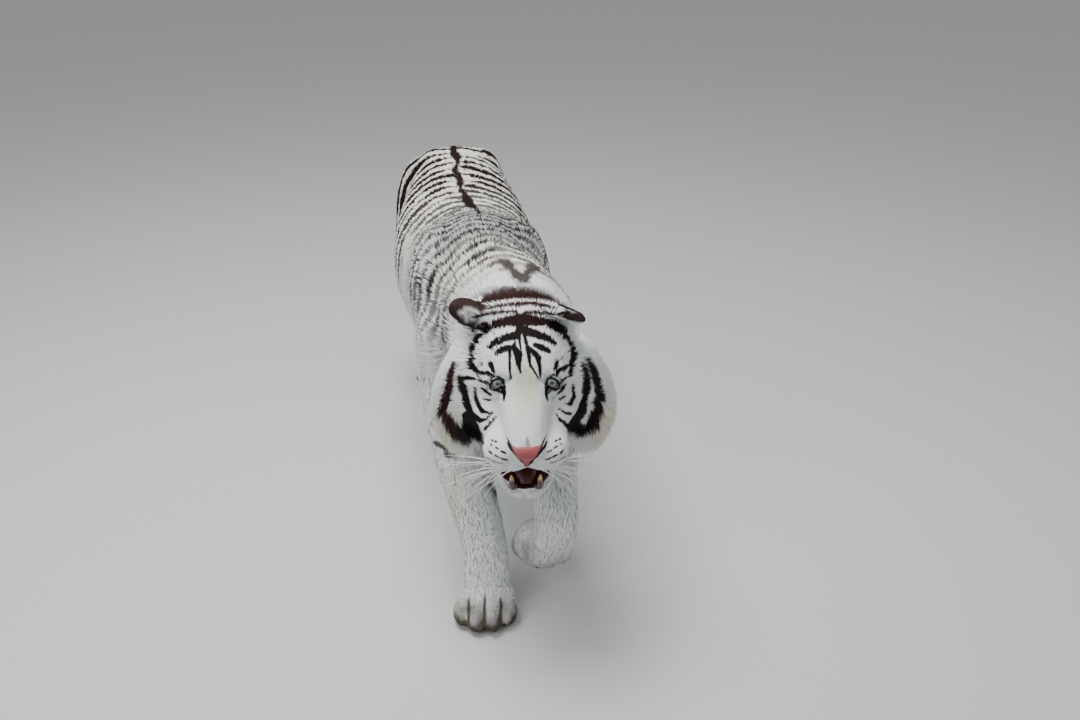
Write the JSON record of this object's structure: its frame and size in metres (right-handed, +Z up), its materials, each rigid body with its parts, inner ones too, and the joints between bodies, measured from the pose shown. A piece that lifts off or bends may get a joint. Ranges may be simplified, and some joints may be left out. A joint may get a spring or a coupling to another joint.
{
  "type": "life-size white tiger model",
  "caption": "Life-size still model of a walking white tiger with its head low, mouth slightly open and one forepaw lifted.",
  "frame": {"origin": "on the floor, midway along and across the whole animal's box", "axes": "+Z up, the tiger faces -Y, its left side is +X"},
  "size_m": [0.4716, 2.0438, 0.8878],
  "materials": {
    "belly": "white to cream fur with dark brown-black stripes",
    "canine_lower_left": "yellowed tooth enamel",
    "canine_lower_right": "yellowed tooth enamel",
    "canine_upper_left": "yellowed tooth enamel",
    "canine_upper_right": "yellowed tooth enamel",
    "chest": "white to cream fur with dark brown-black stripes",
    "ear_left": "short dark brown-black fur",
    "ear_right": "short dark brown-black fur",
    "eye_left": "wet, pale grey-green iris",
    "eye_right": "wet, pale grey-green iris",
    "fore_leg_left": "white to cream fur with dark brown-black stripes",
    "fore_leg_right": "white to cream fur with dark brown-black stripes",
    "fore_paw_left": "white to cream fur with dark brown-black stripes",
    "fore_paw_right": "white to cream fur with dark brown-black stripes",
    "head": "white to cream fur with dark brown-black stripes",
    "hind_foot_left": "white to cream fur with dark brown-black stripes",
    "hind_foot_right": "white to cream fur with dark brown-black stripes",
    "hind_leg_left": "white to cream fur with dark brown-black stripes",
    "hind_leg_right": "white to cream fur with dark brown-black stripes",
    "hindquarters": "white to cream fur with dark brown-black stripes",
    "jaw": "white to cream fur with dark brown-black stripes",
    "neck": "white to cream fur with dark brown-black stripes",
    "tail_base": "white to cream fur with dark brown-black stripes",
    "tail_middle": "white to cream fur with dark brown-black stripes",
    "tail_tip": "white to cream fur with dark brown-black stripes",
    "tongue": "wet, dark red"
  },
  "bodies": {
    "root": {"belly": "belly", "canine_lower_left": "canine_lower_left", "canine_lower_right": "canine_lower_right", "canine_upper_left": "canine_upper_left", "canine_upper_right": "canine_upper_right", "chest": "chest", "ear_left": "ear_left", "ear_right": "ear_right", "eye_left": "eye_left", "eye_right": "eye_right", "fore_leg_left": "fore_leg_left", "fore_leg_right": "fore_leg_right", "fore_paw_left": "fore_paw_left", "fore_paw_right": "fore_paw_right", "head": "head", "hind_foot_left": "hind_foot_left", "hind_foot_right": "hind_foot_right", "hind_leg_left": "hind_leg_left", "hind_leg_right": "hind_leg_right", "hindquarters": "hindquarters", "jaw": "jaw", "neck": "neck", "tail_base": "tail_base", "tail_middle": "tail_middle", "tail_tip": "tail_tip", "tongue": "tongue"}
  },
  "joints": []
}
